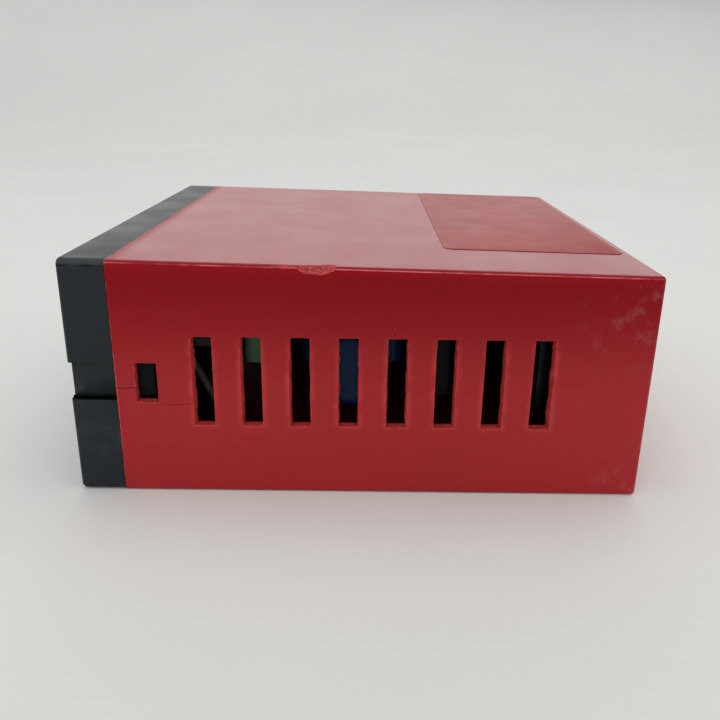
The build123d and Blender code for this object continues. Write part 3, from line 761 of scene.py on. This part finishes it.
def slot_cutter(side, y0, y1, z0, z1, taper, burr, seed):
    """A cutter for one opening: a fine rim at the outer face, then walls that close in and fray."""
    draw = random.Random(seed)
    centre_y, centre_z = (y0 + y1) / 2, (z0 + z1) / 2
    outer = shell_half_width(centre_y)
    rim = sizes().slot_rim
    piece = add_cube("slot_cutter", (outer - rim, y0, z0), (outer + rim * 0.02, y1, z1))
    edit(piece)
    pick(piece, "faces", lambda face: face.normal.x > 0.9)
    flare = (1.0, 1 + 2 * rim / (y1 - y0), 1 + 2 * rim / (z1 - z0))
    bpy.ops.transform.resize(value=flare, center_override=(outer, centre_y, centre_z))
    bpy.ops.mesh.extrude_region_move(TRANSFORM_OT_translate={"value": (rim * 3, 0, 0)})
    pick(piece, "faces", lambda face: face.normal.x < -0.9)
    for depth in WALL_STEPS:
        bpy.ops.mesh.extrude_region_move(TRANSFORM_OT_translate={"value": (-depth, 0, 0)})
    pick(piece, "edges", lambda edge: abs(direction(edge).z) > 0.9)
    bpy.ops.mesh.subdivide(number_cuts=72)
    done_editing()
    lines = {-1: frayed(draw), 1: frayed(draw)}
    for vert in piece.data.vertices:
        inward = outer - rim - 0.0001 - vert.co.x
        if inward < 0:
            continue
        reach = min(1.0, inward / sizes().wall)
        from_end = min(vert.co.z - z0, z1 - vert.co.z)
        wall = 1 if vert.co.y > centre_y else -1
        stands_in = taper + burr * lines[wall](vert.co.z) * min(1.0, from_end / 0.0008)
        vert.co.y -= wall * reach * max(0.0, stands_in)
    if side < 0:
        edit(piece)
        bpy.ops.mesh.select_all(action="SELECT")
        bpy.ops.transform.mirror(constraint_axis=(True, False, False), center_override=(0, 0, 0))
        bpy.ops.mesh.normals_make_consistent(inside=False)
        done_editing()
    return piece


def vent_cutters():
    """Cutters for the slots in the vented side and the latch window in each side."""
    first = MOUTH + sizes().first_slot
    cutters = []
    for index in range(sizes().slot_count):
        y = first + index * sizes().slot_pitch
        burr = sizes().burr * (1.5 if index in (0, sizes().slot_count - 1) else 1.0)
        cutters.append(slot_cutter(1, y, y + sizes().slot_width, sizes().slot_bottom, sizes().slot_top,
                                   sizes().slot_taper, burr, 40 * index + 7))
    for side in SIDES:
        cutters.append(slot_cutter(side, *WINDOW_Y, *WINDOW_Z, 0.00005, 0.00003, 900 + side))
    return joined(cutters, "vent_cutters")


def chip_cutter(centre, radii, seed):
    """A lumpy pebble that leaves a broken edge."""
    draw = random.Random(seed)
    clear_selection()
    bpy.ops.mesh.primitive_ico_sphere_add(subdivisions=4, radius=1.0, location=centre, scale=radii)
    piece = settle(bpy.context.object, "chip_cutter")
    for vert in piece.data.vertices:
        away = vert.co - Vector(centre)
        lump = 0.06 * math.sin(away.y * 1700 + seed) * math.cos(away.z * 2600)
        vert.co = Vector(centre) + away * (1 + lump + draw.uniform(-0.05, 0.05))
    piece.data.materials.append(broken_finish())
    return piece


def crack_cutter(start, end, width, depth, seed):
    """A thin wandering blade in the shell's face between two places, each (y, z)."""
    sway, swell = random.Random(seed), random.Random(seed)
    sways = [0.0, *(sway.uniform(-CRACK_SWAY, CRACK_SWAY) for step in range(CRACK_STEPS - 1)), 0.0]
    swells = [0.45 + swell.uniform(0.2, 0.75) for step in range(CRACK_STEPS + 1)]
    piece = add_cube("crack_cutter", (-1, 0, -1), (0, 1, 1))
    edit(piece)
    pick(piece, "edges", lambda edge: abs(direction(edge).y) > 0.9)
    bpy.ops.mesh.subdivide(number_cuts=CRACK_STEPS - 1)
    done_editing()
    for vert in piece.data.vertices:
        along = vert.co.y
        step = round(along * CRACK_STEPS)
        y = start[0] + along * (end[0] - start[0])
        z = start[1] + along * (end[1] - start[1]) + sways[step]
        half = width / 2 * swells[step] * (1 - 0.6 * abs(2 * along - 1) ** 3)
        outside = vert.co.x > -0.5
        x = shell_half_width(y) + (0.0004 if outside else -depth)
        vert.co = (x, y, z + (half * vert.co.z if outside else 0.0))
    edit(piece)
    bpy.ops.mesh.select_all(action="SELECT")
    bpy.ops.mesh.remove_doubles(threshold=1e-7)
    bpy.ops.mesh.normals_make_consistent(inside=False)
    done_editing()
    return piece


def board_rails():
    """The ribs inside the side walls that hold the board."""
    board_low, board_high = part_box("main_board")
    rails = []
    for side in SIDES:
        ends = sorted((side * (board_high[0] - RAIL_REACH), side * RAIL_ROOT))
        for z0, z1 in ((board_low[2] - RAIL_UNDER, board_low[2] - HAIR),
                       (board_high[2] + HAIR, RAIL_CEILING)):
            rails.append(add_cube("rail", (ends[0], RAIL_FRONT, z0), (ends[1], board_high[1], z1)))
    return joined(rails, "rails")


class APPLIANCE_OT_shell(bpy.types.Operator):
    """Model the red shell with its vents, latch windows, chipped edge and cracks"""

    bl_idname = "appliance.shell"
    bl_label = "Red shell"

    def execute(self, context):
        piece = shell_blank()
        rails = board_rails()
        for part in (piece, rails):
            part.data.materials.append(finish_for("red_shell"))
        cut(piece, rails, "UNION")
        cutters = vent_cutters()
        cutters.data.materials.append(broken_finish())
        cut(piece, cutters)
        for chip in CHIPS:
            y = chip["y"]
            place = (shell_half_width(y) - chip["inset"], y, shell_top(y) - chip["sunk"])
            cut(piece, chip_cutter(place, chip["radii"], chip["seed"]))
        for crack in CRACKS:
            cut(piece, crack_cutter(**crack))
        smooth(piece, 32)
        apply_modifier(piece, "WEIGHTED_NORMAL", keep_sharp=True, weight=80)
        ready(piece, "box", "red_shell", None, "casing_shell")
        return {"FINISHED"}


class APPLIANCE_OT_bezel(bpy.types.Operator):
    """Round the dark front bezel's small edges and cut the groove under its band"""

    bl_idname = "appliance.bezel"
    bl_label = "Front bezel"

    def execute(self, context):
        piece = from_frame("front_bezel", "bezel", sizes().bezel_edge)
        piece.data.materials.append(finish_for("grey_bezel"))
        low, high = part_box("front_bezel")
        floor = high[0] - BAND_RECESS - GROOVE_DEPTH
        for side in SIDES:
            ends = sorted((side * floor, side * (high[0] + MM)))
            groove = add_cube("groove", (ends[0], low[1] - MM, BAND_BOTTOM + HAIR),
                              (ends[1], MOUTH, GROOVE_TOP))
            groove.data.materials.append(finish_for("grey_bezel"))
            cut(piece, groove)
        smooth(piece)
        ready(piece, "box", "grey_bezel", None, "front_bezel")
        return {"FINISHED"}


class APPLIANCE_OT_label(bpy.types.Operator):
    """Model the plain label on the top"""

    bl_idname = "appliance.label"
    bl_label = "Top label"

    def execute(self, context):
        low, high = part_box("type_label")
        thickness = sizes().label_thickness
        clear_selection()
        bpy.ops.mesh.primitive_plane_add(size=1, location=((low[0] + high[0]) / 2, (low[1] + high[1]) / 2, 0))
        context.object.scale = (high[0] - low[0], high[1] - low[1], 1)
        piece = settle(context.object, "label")
        edit(piece, "VERT")
        bpy.ops.mesh.select_all(action="SELECT")
        bpy.ops.mesh.bevel(offset=0.002, segments=6, affect="VERTICES")
        done_editing()
        for vert in piece.data.vertices:
            vert.co.z = shell_top(vert.co.y) + thickness * 0.96
        apply_modifier(piece, "SOLIDIFY", thickness=thickness * 0.9, offset=-1.0)
        soften_edges(piece, thickness * 0.3)
        smooth(piece)
        ready(piece, "box", "label_film", finish_for("label_film"), "type_label")
        return {"FINISHED"}


# ---------------------------------------------------------------- front and inside

ROUNDED = {
    "power_rocker": ("rocker", "switch_paddle", 0.00025),
    "rocker_case": ("box", "black_plastic", 0.0002),
    "power_header": ("box", "green_plastic", 0.00018),
    "power_plug": ("plug", "green_plastic", 0.00015),
    "reset_button": ("reset", "red_button", 0.00012),
    "usb_shell": ("box", "bright_steel", 0.0001),
    "usb_tongue": ("box", "white_plastic", 0.00012),
    "power_choke": ("box", "black_plastic", 0.0003),
    "input_filter": ("box", "green_filter", 0.00025),
    "wire_header": ("box", "grey_nylon", 0.0002),
    "heat_sink": ("box", "sink_aluminium", 0.00015),
    "regulator": ("box", "chip_black", 0.00015),
    "header_screws": ("box", "screw_steel", 0.0001),
    "plug_screws": ("plug", "screw_steel", 0.00008),
}


class APPLIANCE_OT_front(bpy.types.Operator):
    """Round the small edges of the moulded front parts and the tall parts behind the vents"""

    bl_idname = "appliance.front"
    bl_label = "Front parts"

    def execute(self, context):
        for node, (body, slot, width) in ROUNDED.items():
            piece = from_frame(node, f"{node}_rounded", width)
            ready(piece, body, slot, finish_for(slot), node)
        for jack in JACKS:
            piece = from_frame(f"{jack}_jack_housing", f"{jack}_jack_body", 0.00012)
            ready(piece, "box", "black_plastic", finish_for("black_plastic"), f"{jack}_jack_housing")
        return {"FINISHED"}


OUTER_ROUTE = (
    (50.9, -38.0, 31.1), (50.9, -37.8, 29.0), (50.5, -35.3, 24.9), (50.4, -30.9, 16.1),
    (47.0, -29.8, 10.6), (40.0, -31.2, 6.9), (30.0, -33.2, 5.8), (20.0, -35.0, 5.8),
    (10.0, -37.2, 7.4), (4.6, -38.4, 11.75), (-2.2, -38.6, 11.75),
)
INNER_ROUTE = (
    (48.5, -38.9, 31.1), (48.3, -38.7, 27.4), (46.5, -36.2, 23.4), (46.3, -31.9, 14.6),
    (42.4, -32.8, 10.2), (34.0, -34.8, 8.6), (24.0, -36.8, 8.2), (14.0, -38.8, 9.6),
    (5.4, -41.0, 13.45), (-3.4, -41.2, 13.25), (-5.6, -41.1, 11.75), (-9.6, -41.1, 11.75),
)


class APPLIANCE_OT_wires(bpy.types.Operator):
    """Lay the two wires from the board's connector to the power switch"""

    bl_idname = "appliance.wires"
    bl_label = "Switch wires"

    def execute(self, context):
        for name, route in (("outer", OUTER_ROUTE), ("inner", INNER_ROUTE)):
            curve = bpy.data.curves.new(f"switch_wire_{name}_laid", "CURVE")
            curve.dimensions = "3D"
            curve.bevel_depth = sizes().wire / 2
            curve.bevel_resolution = 5
            curve.resolution_u = 10
            curve.use_fill_caps = True
            line = curve.splines.new("NURBS")
            line.points.add(len(route) - 1)
            for point, place in zip(line.points, route):
                point.co = (*(Vector(place) * MM), 1)
            line.order_u = 3
            line.use_endpoint_u = True
            piece = bpy.data.objects.new(curve.name, curve)
            bpy.context.scene.collection.objects.link(piece)
            make_active(piece)
            bpy.ops.object.convert(target="MESH")
            piece = bpy.context.object
            smooth(piece, 60)
            ready(piece, "box", "wire_sleeve", finish_for("wire_sleeve"), f"switch_wire_{name}")
        return {"FINISHED"}


class APPLIANCE_OT_finishes(bpy.types.Operator):
    """Give every part that keeps its CAD shape its own finish"""

    bl_idname = "appliance.finishes"
    bl_label = "Finishes of the carried-over parts"

    def execute(self, context):
        slots = {part["node"]: part["material_slot"] for part in frame["record"]["subparts"]}
        for node, piece in frame["nodes"].items():
            finish = finish_for(slots[node])
            if not piece.material_slots:
                piece.data.materials.append(finish)
            for place in piece.material_slots:
                place.material = finish
        return {"FINISHED"}


# ---------------------------------------------------------------- stage, lights and camera

CAMERA_PLACE = Vector((0.2040, 0.0007, 0.0824))
CAMERA_FORWARD = Vector((-0.9414, -0.0055, -0.3374))
CAMERA_UP = Vector((-0.3373, -0.0154, 0.9413))
CAMERA_LENS = 37.8
FLOOR_SIZE = 6.0
FLOOR_DROP = 0.00005
BACKDROP_START = 0.9
BACKDROP_RADIUS = 0.7
BACKDROP_STEPS = 12
BACKDROP_RISE = 2.5

# Each area light: its name, place, aim, size and watts
LIGHTS = (
    ("overhead", (-0.10, 0.05, 0.95), (0, 0, 0.02), (0.9, 0.9), 1.5),
    ("behind", (-1.35, 0.05, 0.62), (-0.02, 0, 0.05), (2.4, 0.5), 7.0),
    ("above_camera", (0.46, -0.10, 0.58), (0, -0.01, 0.04), (0.30, 0.16), 0.5),
)


def add_light(name, place, aim, size, watts):
    light = bpy.data.lights.new(name, "AREA")
    light.shape = "RECTANGLE"
    light.size, light.size_y = size
    light.energy = watts
    lamp = bpy.data.objects.new(name, light)
    lamp.location = place
    lamp.rotation_euler = (Vector(aim) - Vector(place)).to_track_quat("-Z", "Y").to_euler()
    bpy.context.scene.collection.objects.link(lamp)


def add_camera():
    camera = bpy.data.cameras.new("camera")
    camera.sensor_width = 36.0
    camera.lens = CAMERA_LENS
    camera.clip_start = 0.005
    seen = bpy.data.objects.new("camera", camera)
    right = CAMERA_FORWARD.cross(CAMERA_UP).normalized()
    up = right.cross(CAMERA_FORWARD).normalized()
    turn = Matrix((right, up, -CAMERA_FORWARD.normalized())).transposed().to_4x4()
    seen.matrix_world = Matrix.Translation(CAMERA_PLACE) @ turn
    bpy.context.scene.collection.objects.link(seen)
    bpy.context.scene.camera = seen


def studio_world():
    """Soft room light: brightest behind, dimmer towards the side of the camera."""
    world = bpy.data.worlds.new("studio")
    world.use_nodes = True
    tree = world.node_tree
    place = tree.nodes.new("ShaderNodeTexCoord")
    split = tree.nodes.new("ShaderNodeSeparateXYZ")
    tree.links.new(place.outputs["Generated"], split.inputs["Vector"])
    range_x = tree.nodes.new("ShaderNodeMapRange")
    for socket, number in zip(range_x.inputs[1:5], (-0.6, 0.8, 0.70, 0.515)):
        socket.default_value = number
    tree.links.new(split.outputs["X"], range_x.inputs["Value"])
    background = tree.nodes["Background"]
    background.inputs["Color"].default_value = (0.97, 0.98, 1.0, 1)
    tree.links.new(range_x.outputs["Result"], background.inputs["Strength"])
    bpy.context.scene.world = world


class APPLIANCE_OT_stage(bpy.types.Operator):
    """Set the table, the soft lights and the camera"""

    bl_idname = "appliance.stage"
    bl_label = "Table, lights and camera"

    def execute(self, context):
        clear_selection()
        centre = (FLOOR_SIZE / 2 - BACKDROP_START, 0, -FLOOR_DROP)
        bpy.ops.mesh.primitive_plane_add(size=FLOOR_SIZE, location=centre)
        floor = settle(context.object, "table_top")
        edit(floor)
        pick(floor, "edges", lambda edge: middle(edge).x < 0.01 - BACKDROP_START)
        for step in range(BACKDROP_STEPS):
            turn = math.radians(90) * (step + 0.5) / BACKDROP_STEPS
            run = BACKDROP_RADIUS * math.radians(90) / BACKDROP_STEPS
            move = (-run * math.cos(turn), 0, run * math.sin(turn))
            bpy.ops.mesh.extrude_region_move(TRANSFORM_OT_translate={"value": move})
        bpy.ops.mesh.extrude_region_move(TRANSFORM_OT_translate={"value": (0, 0, BACKDROP_RISE)})
        done_editing()
        floor.data.materials.append(table_paper())
        smooth(floor, 80)
        studio_world()
        for light in LIGHTS:
            add_light(*light)
        add_camera()
        context.scene.view_settings.view_transform = "Standard"
        return {"FINISHED"}


# ---------------------------------------------------------------- panel and registration

OPERATORS = (
    APPLIANCE_OT_stage,
    APPLIANCE_OT_finishes,
    APPLIANCE_OT_shell,
    APPLIANCE_OT_bezel,
    APPLIANCE_OT_label,
    APPLIANCE_OT_front,
    APPLIANCE_OT_wires,
)


class APPLIANCE_PT_panel(bpy.types.Panel):
    """Lists the sizes, colours and steps of the appliance"""

    bl_idname = "APPLIANCE_PT_panel"
    bl_label = "Firewall Appliance"
    bl_space_type = "VIEW_3D"
    bl_region_type = "UI"
    bl_category = "Appliance"

    def draw(self, context):
        column = self.layout.column()
        for group in (sizes(), colours()):
            for name in group.__annotations__:
                column.prop(group, name)
        for step in OPERATORS:
            column.operator(step.bl_idname)


CLASSES = (ApplianceSizes, ApplianceColours, *OPERATORS, APPLIANCE_PT_panel)


def register():
    for kind in CLASSES:
        bpy.utils.register_class(kind)
    bpy.types.Scene.appliance_sizes = PointerProperty(type=ApplianceSizes)
    bpy.types.Scene.appliance_colours = PointerProperty(type=ApplianceColours)


def unregister():
    del bpy.types.Scene.appliance_colours
    del bpy.types.Scene.appliance_sizes
    for kind in reversed(CLASSES):
        bpy.utils.unregister_class(kind)


def main():
    register()
    bpy.ops.appliance.stage()
    bpy.ops.appliance.finishes()
    bpy.ops.appliance.shell()
    bpy.ops.appliance.bezel()
    bpy.ops.appliance.label()
    bpy.ops.appliance.front()
    bpy.ops.appliance.wires()
    clear_selection()


if __name__ == "__main__":
    main()
